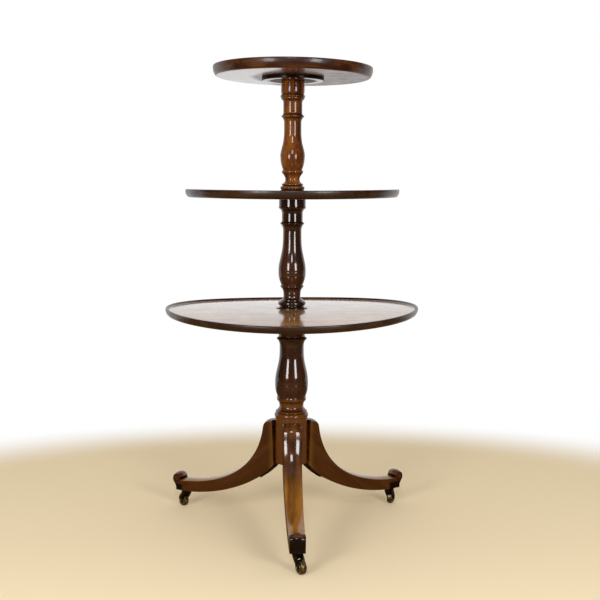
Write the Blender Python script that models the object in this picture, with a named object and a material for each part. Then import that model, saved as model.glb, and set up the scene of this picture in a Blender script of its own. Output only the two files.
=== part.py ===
# Three-tier dumbwaiter table in polished mahogany, on a tripod base with small brass castors.
# The turned column comes apart into three lengths. Each length ends in a journal, on which a tier
# turns, and in a tenon, which seats in the length above. The origin is on the floor below the
# middle of the whole footprint, the front leg points to -Y, and +Z is up.
# Sizes below are in millimetres.

import math

import bmesh
import bpy
from mathutils import Matrix, Vector
from mathutils.geometry import interpolate_bezier

MM = 0.001
GAP = 0.3                    # clearance between neighbouring pieces
COLUMN_Y = 20.0              # the column's axis stands behind the middle of the footprint

# Tiers: outer radius, underside, rim thickness, and how far the front and the back have sunk.
# Each is one old board whose grain runs across, and such a board bends across its grain.
LOWER_TIER = dict(radius=318.5, bottom=555.0, thick=18.0, sag=11.0)
MIDDLE_TIER = dict(radius=267.0, bottom=847.0, thick=20.0, sag=4.0)
UPPER_TIER = dict(radius=198.0, bottom=1142.0, thick=25.0, sag=0.0)
DISH_DEPTH = 5.5             # the tier's surface lies this far below its lip
LIP_WIDTH = 6.5
COVE = 4.5                   # hollow inside the lip
OVOLO_WIDE = 11.0            # rounding under the rim
OVOLO_SHARE = 0.68           # part of the rim's thickness that is rounded
SEAT_RADIUS = 45.0           # flat middle of a tier, which the column's foot covers

# Joints of the column
LOWER_JOURNAL = 15.0
LOWER_TENON = 11.0
LOWER_TENON_LONG = 29.5
MIDDLE_JOURNAL = 13.0
MIDDLE_TENON = 8.5
MIDDLE_TENON_LONG = 21.5
TOP_JOURNAL = 15.0
TOP_RECESS = 8.0             # blind hole in the underside of the upper tier
BORE_GAP = 0.4                # running clearance of a journal or a tenon

# Boss under the upper tier
BOSS_RADIUS = 77.0
BOSS_BOTTOM = 1133.7
BOSS_ROUND = 4.5
BOSS_SCREW_RADIUS = 59.5
BOSS_SCREWS = 4

# Drum of the lower column, which holds the legs
DRUM_RADIUS = 41.2
DRUM_BOTTOM = 168.0
DOVETAIL_TOP = 262.0
DOVETAIL_NECK = 8.0          # half width where the tongue leaves the leg
DOVETAIL_BACK = 11.0         # half width at its inner end
DOVETAIL_REACH = 28.3        # distance of the inner end from the column's axis

# Legs
LEG_ANGLES = dict(front=-90.0, right=30.0, left=150.0)
LEG_HALF_ROOT = 24.0
LEG_HALF_TOE = 19.0
LEG_CROWN_ROOT = 5.0         # how far the upper face falls from its middle to its sides
LEG_CROWN_TOE = 3.5
LEG_ARRIS = 1.2
LEG_TOP = 277.0
LEG_SHOULDER = [(46, 277), (66, 277), (73.2, 270), (75.5, 258)]
LEG_UPPER_CURVE = [(75.5, 258), (89.5, 148.5), (185.5, 89), (329.1, 80.5)]
LEG_LOWER_CURVE = [(303, 50), (190, 58), (78, 107), (33.1, 168)]
LEG_LOWER_STEPS = 10
SCROLL_CENTRE = (343.5, 82.5)
SCROLL_RADIUS = 14.5
SCROLL_START = 188.0         # degrees, where the scroll rises from the leg's upper face
SCROLL_END = -42.0
TOE_NECK = (345.3, 60.5)     # where the toe's hollow end turns down
TOE_END = 344.8
TOE_BOTTOM = 50.0

# Castors
CASTOR_RADIUS = 321.7        # pivots from the column's axis
CASTOR_TRAILS = dict(front=-62.0, right=62.0, left=125.0)
TRAIL = 17.0
WHEEL_RADIUS = 17.0
WHEEL_HALF = 6.5
TREAD_HALF = 4.0
WHEEL_SIDES = 16
AXLE_HEIGHT = WHEEL_RADIUS * math.cos(math.pi / WHEEL_SIDES)     # the wheel rests on one facet
HUB_HALF = 6.9
HUB_RADIUS = 5.0
PLATE_RADIUS = 16.5
PLATE_THICK = 2.5
PIVOT_RADIUS = 3.0
HORN_TOP = 46.9
HORN_RADIUS = 12.5
HORN_BOTTOM = 38.3
ARM_INNER = 7.2
ARM_THICK = 3.0
AXLE_RADIUS = 2.0
EYE_RADIUS = 4.8
PLATE_SCREW_RADIUS = 13.1
PLATE_SCREWS = 3

# Iron brace under the drum
BRACE_THICK = 3.0
BRACE_HALF_WIDTH = 9.0
BRACE_HUB = 30.0
BRACE_HUB_REACH = 24.0       # where a strap starts inside the hub
BRACE_SPANS = 3              # facets of the leg's lower edge that a strap follows

FINISHES = dict(
    dark_mahogany=((0.105, 0.032, 0.014), 0.18, 0.0),
    golden_mahogany=((0.185, 0.068, 0.022), 0.18, 0.0),
    brass=((0.24, 0.18, 0.085), 0.38, 1.0),
    iron=((0.055, 0.05, 0.047), 0.55, 1.0),
    steel=((0.16, 0.15, 0.14), 0.45, 1.0),
)


def clear_scene():
    for obj in list(bpy.data.objects):
        bpy.data.objects.remove(obj, do_unlink=True)


def add_object(name, bm, finish=None, smooth_angle=32.0):
    """Make an object of a finished bmesh, with a material of its own."""
    bmesh.ops.recalc_face_normals(bm, faces=bm.faces)
    mesh = bpy.data.meshes.new(name)
    bm.to_mesh(mesh)
    bm.free()
    mesh.shade_smooth()
    mesh.set_sharp_from_angle(angle=math.radians(smooth_angle))
    obj = bpy.data.objects.new(name, mesh)
    bpy.context.scene.collection.objects.link(obj)
    if finish:
        colour, roughness, metallic = FINISHES[finish]
        material = bpy.data.materials.new(name + "_" + finish)
        material.use_nodes = True
        shader = material.node_tree.nodes["Principled BSDF"]
        shader.inputs["Base Color"].default_value = (*colour, 1.0)
        shader.inputs["Roughness"].default_value = roughness
        shader.inputs["Metallic"].default_value = metallic
        mesh.materials.append(material)
    else:
        obj.hide_render = True
        obj.display_type = "WIRE"
    return obj


def add_empty(name, x, y, z, angle, parent):
    empty = bpy.data.objects.new(name, None)
    empty.location = (x * MM, y * MM, z * MM)
    empty.rotation_euler = (0.0, 0.0, math.radians(angle))
    empty.parent = parent
    bpy.context.scene.collection.objects.link(empty)
    return empty


def hang(obj, parent, x=0.0, y=0.0, z=0.0, turn=(0.0, 0.0, 0.0)):
    obj.parent = parent
    obj.location = (x * MM, y * MM, z * MM)
    obj.rotation_euler = turn
    return obj


def shape(obj, other, operation):
    """Cut a piece with a cutter, or join a guide shape to it."""
    modifier = obj.modifiers.new(operation.lower() + "_" + other.name, "BOOLEAN")
    modifier.operation = operation
    modifier.solver = "EXACT"
    modifier.object = other


def bezier(points, steps):
    """Points of a cubic curve, without its first point."""
    corners = [Vector((x, y, 0.0)) for x, y in points]
    return [(p.x, p.y) for p in interpolate_bezier(*corners, steps + 1)[1:]]


def arc(centre, radius, start, end, steps):
    angles = [math.radians(start + (end - start) * i / steps) for i in range(steps + 1)]
    return [(centre[0] + radius * math.cos(a), centre[1] + radius * math.sin(a)) for a in angles]


def spin_outline(bm, outline, sides, place=None, closed=False, phase=0.0):
    """Turn an outline of (radius, height) points about Z, then set it in place."""
    verts = [bm.verts.new((r * MM, 0.0, z * MM)) for r, z in outline]
    pairs = list(zip(verts, verts[1:]))
    if closed:
        pairs.append((verts[-1], verts[0]))
    edges = [bm.edges.new(pair) for pair in pairs]
    before = set(bm.verts) - set(verts)
    bmesh.ops.spin(bm, geom=verts + edges, cent=(0, 0, 0), axis=(0, 0, 1), dvec=(0, 0, 0),
                   angle=math.tau, steps=sides, use_merge=True, use_duplicate=False)
    made = [v for v in bm.verts if v not in before]
    bmesh.ops.remove_doubles(bm, verts=made, dist=0.001 * MM)
    made = [v for v in bm.verts if v not in before]
    matrix = (place or Matrix()) @ Matrix.Rotation(phase, 4, "Z")
    bmesh.ops.transform(bm, matrix=matrix, verts=made)


def turned(name, outline, sides, finish=None, closed=False, phase=0.0):
    bm = bmesh.new()
    spin_outline(bm, outline, sides, closed=closed, phase=phase)
    return add_object(name, bm, finish)


def turning(top_radius, top, elements):
    """Follow a turner's list of elements down the outside of a column.

    An element is (end radius, drop) for a straight run, or (end radius, drop, lean at its start,
    lean at its end) for a hollow or a swell. Lean is in degrees from straight down, and positive
    leans outwards.
    """
    radius, height = top_radius, top
    points = [(radius, height)]
    for element in elements:
        end_radius, drop = element[:2]
        end = (end_radius, height - drop)
        if len(element) == 2:
            points.append(end)
        else:
            lean_start, lean_end = (math.radians(a) for a in element[2:])
            reach = 0.4 * math.hypot(end_radius - radius, drop)
            first = (radius + reach * math.sin(lean_start), height - reach * math.cos(lean_start))
            last = (end_radius - reach * math.sin(lean_end), end[1] + reach * math.cos(lean_end))
            steps = 1 if drop < 5 else 2 if drop < 20 else 3
            points += bezier([(radius, height), first, last, end], steps)
        radius, height = end
    return points


def seat_of(tier):
    """Heights of the underside and of the surface at the middle of a tier."""
    return tier["bottom"], tier["bottom"] + tier["thick"] - DISH_DEPTH


def tier_outline(tier):
    """Half section of a dished tier, from the edge of its seat over the lip and back below."""
    radius, bottom = tier["radius"], tier["bottom"]
    top = bottom + tier["thick"]
    low, high = seat_of(tier)
    wall = radius - LIP_WIDTH
    dish_end = wall - COVE
    rounds = 2 if tier["sag"] else 1

    def runs(height, end):
        radii = [SEAT_RADIUS + (end - SEAT_RADIUS) * i / rounds for i in range(rounds + 1)]
        return [(r, height) for r in radii]

    surface = runs(high, dish_end)
    cove = arc((dish_end, top - DISH_DEPTH + COVE), COVE, -90, -8, 2)[1:]
    lip = [(wall + 1.3, top - 0.1), (radius - 1.6, top), (radius, top - 1.8)]
    ovolo_high = OVOLO_SHARE * tier["thick"]
    edge = [(radius - OVOLO_WIDE * (1 - x), bottom + ovolo_high * (1 - z))
            for x, z in arc((0, 0), 1.0, 0, 90, 3)]
    underside = runs(low, radius - OVOLO_WIDE)[::-1]
    return surface + cove + lip + edge + underside[1:]


def settle(bm, tier):
    """Bend a tier across its grain, so that its front and its back sink."""
    end = tier["radius"] - LIP_WIDTH - COVE
    for vert in bm.verts:
        reach = math.hypot(vert.co.x, vert.co.y) / MM
        share = min(1.0, max(0.0, (reach - SEAT_RADIUS) / (end - SEAT_RADIUS)))
        if share > 0.0:
            vert.co.z -= tier["sag"] * MM * (share * vert.co.y / MM / reach) ** 2


def make_tiers(frame):
    lower_bore = LOWER_JOURNAL + BORE_GAP
    middle_bore = MIDDLE_JOURNAL + BORE_GAP
    top_bore = TOP_JOURNAL + BORE_GAP
    sides = 36
    for name, tier, bore in (("lower_tier", LOWER_TIER, lower_bore),
                             ("middle_tier", MIDDLE_TIER, middle_bore)):
        low, high = seat_of(tier)
        bm = bmesh.new()
        spin_outline(bm, [(bore, high)] + tier_outline(tier) + [(bore, low)], sides, closed=True)
        settle(bm, tier)
        hang(add_object(name, bm, "dark_mahogany"), frame)
    low, high = seat_of(UPPER_TIER)
    recess = [(top_bore, low), (top_bore, low + TOP_RECESS), (0, low + TOP_RECESS)]
    outline = [(0, high)] + tier_outline(UPPER_TIER) + recess
    upper = hang(turned("upper_tier", outline, sides, "dark_mahogany"), frame)

    boss_top = low - GAP
    foot = arc((BOSS_RADIUS - BOSS_ROUND, BOSS_BOTTOM + BOSS_ROUND), BOSS_ROUND, 0, -90, 2)
    outline = [(top_bore, boss_top), (BOSS_RADIUS - 1.0, boss_top), (BOSS_RADIUS, boss_top - 1.0)]
    outline += foot + [(top_bore, BOSS_BOTTOM)]
    boss = hang(turned("upper_tier_boss", outline, 24, "dark_mahogany", closed=True), frame)
    reach = Matrix.Translation((BOSS_SCREW_RADIUS * MM, 0.0, (BOSS_BOTTOM + 0.2) * MM))
    places = [Matrix.Rotation(math.tau * i / BOSS_SCREWS, 4, "Z") @ reach for i in range(BOSS_SCREWS)]
    holes = make_screws("boss_screw", places, frame, head=4.4, shank=2.0, length=18.0)
    shape(boss, holes, "DIFFERENCE")
    shape(upper, holes, "DIFFERENCE")


def make_screws(name, places, parent, head, shank, length, marks=None, sides=8):
    """Add countersunk screws that point up from their heads, and return the cutter of their holes."""
    cone = head - shank
    outline = [(0, length), (shank, length - 2.0), (shank, cone + 0.5), (head, 0.5), (head, 0), (0, 0)]
    grown = [(0, length + GAP), (shank + GAP, length - 2.0), (shank + GAP, cone + 0.5),
             (head + GAP, 0.5), (head + GAP, -4.0), (0, -4.0)]
    cutter = bmesh.new()
    for i, place in enumerate(places):
        mark = marks[i] if marks else str(i + 1)
        screw = turned("%s_%s" % (name, mark), outline, sides, "steel")
        screw.parent = parent
        screw.matrix_local = place
        spin_outline(cutter, grown, sides, place)
    return hang(add_object(name + "_holes", cutter), parent)


def make_columns(frame):
    low, high = seat_of(LOWER_TIER)
    spigot = [(0, high + LOWER_TENON_LONG), (LOWER_TENON, high + LOWER_TENON_LONG),
              (LOWER_TENON, high), (LOWER_JOURNAL, high), (LOWER_JOURNAL, low - GAP)]
    outline = spigot + turning(42.5, low - GAP, [
        (42.5, 21.7), (43.2, 1.0), (43.2, 1.5), (42.0, 2.0),              # capital
        (33.5, 15.0, -55, 0), (33.5, 18.0),                               # hollow and neck
        (39.1, 5.0), (38.5, 1.5),                                         # upper ring
        (30.9, 25.0, -50, 0), (35.7, 44.5, 0, 13), (42.4, 45.5, 13, 0),   # vase
        (36.0, 33.0, 0, -22),
        (37.6, 3.5), (37.4, 6.0),                                         # lower ring
        (31.0, 13.5, -50, 0), (34.0, 9.0, 0, 45), (40.5, 6.0, 45, 60),    # hollow
        (40.5, 1.5), (38.5, 1.5),                                         # thin flange
        (43.6, 7.5, 60, 0), (42.0, 2.5, 0, -60),                          # torus
        (42.0, 12.0), (DRUM_RADIUS, 0.6)])                                # collar
    outline += [(DRUM_RADIUS, DRUM_BOTTOM), (0, DRUM_BOTTOM)]
    lower = hang(turned("lower_column", outline, 24, "dark_mahogany"), frame)

    low_next, high_next = seat_of(MIDDLE_TIER)
    spigot = [(0, high_next + MIDDLE_TENON_LONG), (MIDDLE_TENON, high_next + MIDDLE_TENON_LONG),
              (MIDDLE_TENON, high_next), (MIDDLE_JOURNAL, high_next), (MIDDLE_JOURNAL, low_next - GAP)]
    outline = spigot + turning(33.6, low_next - GAP, [
        (33.6, 23.5), (34.2, 0.8), (34.2, 1.4), (33.2, 1.8),              # capital
        (26.2, 13.0, -55, 0), (26.2, 20.0),                               # hollow and neck
        (30.6, 4.2), (30.4, 1.2),                                         # upper ring
        (23.3, 27.0, -50, 0), (28.4, 52.0, 0, 12), (34.7, 40.8, 12, 0),   # vase
        (27.2, 33.5, 0, -24),
        (29.6, 3.5), (29.4, 2.0), (21.7, 18.0, -50, 0),                   # lower ring and hollow
        (25.5, 14.0, 0, 50), (28.5, 0.8), (28.5, 1.5),                    # thin flange
        (35.0, 7.0, 60, 0), (30.5, 6.2, 0, -75),                          # torus
        (42.5, 5.2, 10, 80)])                                             # foot
    outline += socket(42.5, high + GAP, LOWER_TENON, LOWER_TENON_LONG)
    hang(turned("middle_column", outline, 18, "dark_mahogany"), frame)

    boss_seat = BOSS_BOTTOM - GAP
    journal_top = UPPER_TIER["bottom"] + TOP_RECESS - 0.5
    spigot = [(0, journal_top), (TOP_JOURNAL, journal_top), (TOP_JOURNAL, boss_seat)]
    outline = spigot + turning(28.3, boss_seat, [
        (29.3, 21.4), (28.0, 11.0), (26.8, 1.2),                          # barrel
        (31.0, 3.3, 70, 0), (28.8, 2.8, 0, -70),                          # thin ring
        (29.4, 1.4), (29.4, 2.0),                                         # fillet
        (23.6, 9.2, -50, 0), (23.6, 25.0),                                # hollow and neck
        (28.7, 8.2, 0, 55), (28.7, 1.4),                                  # upper ring
        (21.5, 14.4, -50, 0), (21.5, 19.0),                               # waist
        (24.2, 32.0, 0, 9), (30.8, 29.0, 15, 8), (23.8, 36.0, -3, -24),   # vase
        (26.8, 4.6), (26.8, 2.6), (18.0, 17.3, -35, 0),                   # lower ring and hollow
        (21.0, 7.5, 0, 45), (25.4, 3.4, 45, 60), (27.0, 0.8),
        (27.0, 2.0), (24.0, 1.6),                                         # thin flange
        (30.5, 5.6, 65, 0), (28.5, 3.6, 0, -55),                          # torus
        (40.0, 3.7, 10, 78)])                                             # foot
    outline += socket(40.0, high_next + GAP, MIDDLE_TENON, MIDDLE_TENON_LONG)
    hang(turned("upper_column", outline, 18, "golden_mahogany"), frame)
    return lower


def socket(foot_radius, foot, tenon, tenon_long):
    """Underside of a column's foot, bored for the tenon of the length below."""
    bore = tenon + BORE_GAP
    top = foot + tenon_long + GAP
    return [(foot_radius, foot), (bore, foot), (bore, top), (0, top)]


def dovetail(name, grow, bottom, top, finish=None):
    """Tongue that slides up into the drum, pointing from the leg towards the column."""
    back = DOVETAIL_REACH - grow
    front = DRUM_RADIUS + GAP + 1.5
    corners = [(back, DOVETAIL_BACK + grow), (front, DOVETAIL_NECK + grow),
               (front, -DOVETAIL_NECK - grow), (back, -DOVETAIL_BACK - grow)]
    bm = bmesh.new()
    face = bm.faces.new([bm.verts.new((x * MM, y * MM, bottom * MM)) for x, y in corners])
    made = bmesh.ops.extrude_face_region(bm, geom=[face])["geom"]
    lifted = [v for v in made if isinstance(v, bmesh.types.BMVert)]
    bmesh.ops.translate(bm, verts=lifted, vec=(0, 0, (top - bottom) * MM))
    return add_object(name, bm, finish)


def leg_outline():
    """Side view of a leg as (reach, height, crown share), round from the root's lower corner."""
    root = [(30.0, 172.0, 0.0), (30.0, LEG_TOP, 1.0)]
    upper = [LEG_SHOULDER[0]] + bezier(LEG_SHOULDER, 2) + bezier(LEG_UPPER_CURVE, 8)
    scroll = arc(SCROLL_CENTRE, SCROLL_RADIUS, SCROLL_START, SCROLL_END, 9)[1:]
    outline = root + [(x, z, 1.0) for x, z in upper]
    for x, z in scroll:
        below = max(0.0, SCROLL_CENTRE[1] - z) / SCROLL_RADIUS
        outline.append((x, z, max(0.0, 1.0 - below)))
    outline += [(*TOE_NECK, 0.0), (TOE_END, TOE_BOTTOM, 0.0), (*LEG_LOWER_CURVE[0], 0.0)]
    outline += [(x, z, 0.0) for x, z in bezier(LEG_LOWER_CURVE, LEG_LOWER_STEPS)]
    return outline


def leg_share(reach):
    return (reach - DRUM_RADIUS) / (SCROLL_CENTRE[0] + SCROLL_RADIUS - DRUM_RADIUS)


def leg_mesh():
    """Loft the side view across the leg, so that the upper face is crowned and the arrises soft."""
    outline = leg_outline()
    count = len(outline)
    normals = []
    for i in range(count):
        ahead, behind = outline[(i + 1) % count], outline[i - 1]
        along = Vector((ahead[0] - behind[0], ahead[1] - behind[1])).normalized()
        normals.append(Vector((along.y, -along.x)))
    bm = bmesh.new()
    slices = []
    for side in (-1.0, -0.95, -0.6, 0.0, 0.6, 0.95, 1.0):
        ring = []
        for (x, z, crowned), inward in zip(outline, normals):
            share = leg_share(x)
            crown = LEG_CROWN_ROOT + (LEG_CROWN_TOE - LEG_CROWN_ROOT) * share
            fall = crown * crowned * side ** 2 + (LEG_ARRIS if abs(side) == 1.0 else 0.0)
            half = LEG_HALF_ROOT + (LEG_HALF_TOE - LEG_HALF_ROOT) * share
            ring.append(bm.verts.new(((x + inward.x * fall) * MM, side * half * MM,
                                      (z + inward.y * fall) * MM)))
        slices.append(ring)
    for ring, following in zip(slices, slices[1:]):
        for i in range(count):
            j = (i + 1) % count
            bm.faces.new((ring[i], ring[j], following[j], following[i]))
    bm.faces.new(slices[0])
    bm.faces.new(slices[-1][::-1])
    return bm


def offset_chain(points, distance):
    """A chain of points moved to its right-hand side, with mitred corners."""
    points = [Vector(p) for p in points]
    sides = [Vector(((b - a).y, -(b - a).x)).normalized() for a, b in zip(points, points[1:])]
    moved = []
    for i, point in enumerate(points):
        before, after = sides[max(i - 1, 0)], sides[min(i, len(sides) - 1)]
        middle = (before + after).normalized()
        moved.append(point + middle * (distance / middle.dot(after)))
    return moved


def make_legs(frame, lower_column):
    drum = turned("drum_cutter", [(0, 300), (DRUM_RADIUS + GAP, 300), (DRUM_RADIUS + GAP, 140), (0, 140)], 24)
    hang(drum, frame)
    arms = []
    for side, angle in LEG_ANGLES.items():
        mount = add_empty("leg_seat_" + side, 0, 0, 0, angle, frame)
        leg = hang(add_object("leg_" + side, leg_mesh(), "dark_mahogany"), mount)
        tongue = hang(dovetail("tongue_" + side, 0.0, DRUM_BOTTOM, DOVETAIL_TOP), mount)
        slot = hang(dovetail("slot_" + side, GAP, DRUM_BOTTOM - 5.0, DOVETAIL_TOP + GAP), mount)
        shape(leg, drum, "DIFFERENCE")
        shape(leg, tongue, "UNION")
        shape(lower_column, slot, "DIFFERENCE")
        arms.append((mount, leg))
    return arms


def strap_chain():
    """Line under the drum and along the lower edge of a leg, in the leg's own plane."""
    edge = bezier(LEG_LOWER_CURVE, LEG_LOWER_STEPS)[::-1]
    return [(BRACE_HUB_REACH, DRUM_BOTTOM)] + edge[:BRACE_SPANS + 1]


def brace_strap(name):
    chain = strap_chain()
    loop = offset_chain(chain, GAP) + offset_chain(chain, GAP + BRACE_THICK)[::-1]
    half = BRACE_HALF_WIDTH
    bm = bmesh.new()
    face = bm.faces.new([bm.verts.new((p.x * MM, -half * MM, p.y * MM)) for p in loop])
    made = bmesh.ops.extrude_face_region(bm, geom=[face])["geom"]
    moved = [v for v in made if isinstance(v, bmesh.types.BMVert)]
    bmesh.ops.translate(bm, verts=moved, vec=(0, 2 * half * MM, 0))
    tip = max(v.co.x for v in bm.verts) - 4.0 * MM
    corners = [e for e in bm.edges if all(v.co.x > tip for v in e.verts)
               and abs(e.verts[0].co.y - e.verts[1].co.y) < 0.01 * MM]
    bmesh.ops.bevel(bm, geom=corners, offset=5.0 * MM, segments=2, profile=0.5, affect="EDGES",
                    material=-1)
    return add_object(name, bm)


def make_brace(frame, lower_column, arms):
    hub_top = DRUM_BOTTOM - GAP
    hub_low = hub_top - BRACE_THICK
    outline = [(0, hub_top), (BRACE_HUB, hub_top), (BRACE_HUB, hub_low), (0, hub_low)]
    brace = hang(turned("leg_brace", outline, 24, "iron"), frame)
    places = [Matrix.Translation((0, 0, (hub_low + 0.2) * MM))]
    first, second = [Vector(p) for p in strap_chain()[-2:]]
    along = (second - first).normalized()
    out = Vector((along.y, -along.x))
    head = (first + second) / 2 + out * (GAP + BRACE_THICK - 0.2)
    tilt = Matrix.Rotation(math.atan2(-out.x, -out.y), 4, "Y")
    for mount, leg in arms:
        strap = hang(brace_strap("strap_" + leg.name), mount)
        shape(brace, strap, "UNION")
        turn = Matrix.Rotation(mount.rotation_euler.z, 4, "Z")
        places.append(turn @ Matrix.Translation((head.x * MM, 0, head.y * MM)) @ tilt)
    marks = ["centre"] + list(LEG_ANGLES)
    holes = make_screws("leg_brace_screw", places, frame, head=4.0, shank=1.9, length=18.0, marks=marks)
    shape(brace, holes, "DIFFERENCE")
    shape(lower_column, holes, "DIFFERENCE")
    for mount, leg in arms:
        shape(leg, holes, "DIFFERENCE")


def horn_arm(name, inner):
    """Cheek of a castor's horn, from the crown back and down to the axle's eye."""
    eye = arc((TRAIL, AXLE_HEIGHT), EYE_RADIUS, 20, -150, 4)
    back = bezier([eye[-1], (8.5, 23.0), (-3.0, 30.0), (-8.0, 41.5)], 3)
    front = bezier([(9.5, 44.5), (14.0, 38.0), (20.5, 28.0), eye[0]], 3)
    loop = eye + back + [(-6.0, 45.6), (6.0, 45.6), (9.5, 44.5)] + front[:-1]
    bm = bmesh.new()
    face = bm.faces.new([bm.verts.new((x * MM, inner * MM, z * MM)) for x, z in loop])
    made = bmesh.ops.extrude_face_region(bm, geom=[face])["geom"]
    moved = [v for v in made if isinstance(v, bmesh.types.BMVert)]
    bmesh.ops.translate(bm, verts=moved, vec=(0, ARM_THICK * MM, 0))
    return add_object(name, bm)


def make_castor(side, frame, leg):
    angle = math.radians(LEG_ANGLES[side])
    x, y = CASTOR_RADIUS * math.cos(angle), CASTOR_RADIUS * math.sin(angle)
    fixed = add_empty("castor_seat_" + side, x, y, 0, LEG_ANGLES[side], frame)
    swivel = add_empty("castor_swivel_" + side, x, y, 0, CASTOR_TRAILS[side], frame)

    plate_top = TOE_BOTTOM - GAP
    plate_low = plate_top - PLATE_THICK
    hole = PIVOT_RADIUS + GAP
    outline = [(hole, plate_top), (PLATE_RADIUS, plate_top), (PLATE_RADIUS, plate_low + 0.7),
               (PLATE_RADIUS - 0.7, plate_low), (hole, plate_low)]
    plate = hang(turned("castor_plate_" + side, outline, 16, "brass", closed=True), fixed)
    outline = [(0, plate_top - 0.1), (PIVOT_RADIUS, plate_top - 0.1), (PIVOT_RADIUS, HORN_BOTTOM - GAP),
               (4.6, HORN_BOTTOM - GAP), (4.0, HORN_BOTTOM - 2.0), (0, HORN_BOTTOM - 2.6)]
    hang(turned("castor_pivot_" + side, outline, 12, "steel"), fixed)

    reach = Matrix.Translation((PLATE_SCREW_RADIUS * MM, 0, (plate_low + 0.1) * MM))
    places = [Matrix.Rotation(math.tau * i / PLATE_SCREWS, 4, "Z") @ reach for i in range(PLATE_SCREWS)]
    holes = make_screws("castor_screw_" + side, places, fixed, head=2.5, shank=1.3, length=12.0,
                        sides=6)
    shape(plate, holes, "DIFFERENCE")
    shape(leg, holes, "DIFFERENCE")

    outline = [(hole, HORN_TOP), (HORN_RADIUS - 1.5, HORN_TOP), (HORN_RADIUS, HORN_TOP - 1.5),
               (HORN_RADIUS - 0.8, HORN_TOP - 4.0), (HORN_RADIUS - 3.5, HORN_BOTTOM), (hole, HORN_BOTTOM)]
    horn = hang(turned("castor_horn_" + side, outline, 12, "brass", closed=True), swivel)
    for cheek, inner in (("near", -ARM_INNER - ARM_THICK), ("far", ARM_INNER)):
        arm = hang(horn_arm("cheek_%s_%s" % (cheek, side), inner), swivel)
        shape(horn, arm, "UNION")
    crosswise = (math.pi / 2, 0, 0)
    reach = ARM_INNER + ARM_THICK
    bore = AXLE_RADIUS + GAP
    eye = turned("eye_cutter_" + side, [(0, 16), (bore, 16), (bore, -16), (0, -16)], 12)
    hang(eye, swivel, TRAIL, 0, AXLE_HEIGHT, crosswise)
    shape(horn, eye, "DIFFERENCE")

    head = reach + GAP
    outline = [(0, head + 1.3), (2.8, head + 0.9), (3.4, head), (AXLE_RADIUS, head),
               (AXLE_RADIUS, -head), (3.4, -head), (2.8, -head - 0.9), (0, -head - 1.3)]
    hang(turned("castor_axle_" + side, outline, 10, "steel"), swivel, TRAIL, 0, AXLE_HEIGHT, crosswise)

    face = [(AXLE_RADIUS + GAP, HUB_HALF), (HUB_RADIUS, HUB_HALF), (HUB_RADIUS + 1.4, WHEEL_HALF - 2.2),
            (WHEEL_RADIUS - 4.2, WHEEL_HALF - 2.2), (WHEEL_RADIUS - 2.6, WHEEL_HALF),
            (WHEEL_RADIUS, TREAD_HALF)]
    outline = face + [(r, -z) for r, z in face[::-1]]
    wheel = turned("castor_wheel_" + side, outline, WHEEL_SIDES, "brass", closed=True,
                   phase=math.pi / WHEEL_SIDES)
    hang(wheel, swivel, TRAIL, 0, AXLE_HEIGHT, crosswise)


def main():
    clear_scene()
    frame = add_empty("column_axis", 0, COLUMN_Y, 0, 0, None)
    make_tiers(frame)
    lower_column = make_columns(frame)
    arms = make_legs(frame, lower_column)
    make_brace(frame, lower_column, arms)
    for mount, leg in arms:
        make_castor(leg.name.replace("leg_", ""), frame, leg)
    bpy.context.view_layer.update()


main()
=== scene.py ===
# Mahogany dumbwaiter table with three revolving tiers, a turned column, scrolled legs and brass castors.
# Outlines are written in millimetres, and the sizes in materials and lights in metres. The front leg
# points to -Y.

import math

import bmesh
import bpy
from mathutils import Euler, Matrix, Vector
from mathutils.geometry import interpolate_bezier


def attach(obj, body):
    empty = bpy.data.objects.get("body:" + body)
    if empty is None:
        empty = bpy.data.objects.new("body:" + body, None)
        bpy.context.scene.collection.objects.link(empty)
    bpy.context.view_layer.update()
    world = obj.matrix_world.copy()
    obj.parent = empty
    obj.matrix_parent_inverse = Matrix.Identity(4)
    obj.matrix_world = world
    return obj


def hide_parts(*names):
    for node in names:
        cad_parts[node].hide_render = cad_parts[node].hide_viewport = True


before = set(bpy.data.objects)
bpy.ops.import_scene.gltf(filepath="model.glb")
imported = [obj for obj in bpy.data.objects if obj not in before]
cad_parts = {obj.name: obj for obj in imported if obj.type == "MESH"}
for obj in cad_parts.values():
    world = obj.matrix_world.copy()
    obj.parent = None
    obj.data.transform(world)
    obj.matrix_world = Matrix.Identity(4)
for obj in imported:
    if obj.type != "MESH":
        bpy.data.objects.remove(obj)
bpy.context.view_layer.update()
millimetre = 0.001
axisY = 0.020  # the column stands this far behind the middle of the footprint
columnPlace = Matrix.Translation((0, axisY, 0))


def colour(hexCode):
    # sRGB hex to the linear values that the shaders want
    parts = [int(hexCode[i:i + 2], 16) / 255 for i in (1, 3, 5)]
    return tuple(c / 12.92 if c <= 0.04045 else ((c + 0.055) / 1.055) ** 2.4 for c in parts) + (1.0,)


def grey(value):
    return (value, value, value, 1.0)


def newMaterial(name):
    material = bpy.data.materials.new(name)
    material.use_nodes = True
    return material, material.node_tree, material.node_tree.nodes["Principled BSDF"]


def feed(tree, node, inputs):
    # An input takes a value, or another node's output
    for key, value in inputs.items():
        if isinstance(value, bpy.types.NodeSocket):
            tree.links.new(value, node.inputs[key])
        else:
            node.inputs[key].default_value = value


def addNode(tree, kind, settings=None, inputs=None):
    node = tree.nodes.new(kind)
    for key, value in (settings or {}).items():
        setattr(node, key, value)
    feed(tree, node, inputs or {})
    return node


def maths(tree, operation, *values):
    return addNode(tree, "ShaderNodeMath", {"operation": operation}, dict(enumerate(values))).outputs["Value"]


def times(tree, first, second):
    return maths(tree, "MULTIPLY", first, second)


def vectorMaths(tree, operation, *values, output="Vector"):
    node = addNode(tree, "ShaderNodeVectorMath", {"operation": operation}, dict(enumerate(values)))
    return node.outputs[output]


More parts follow.
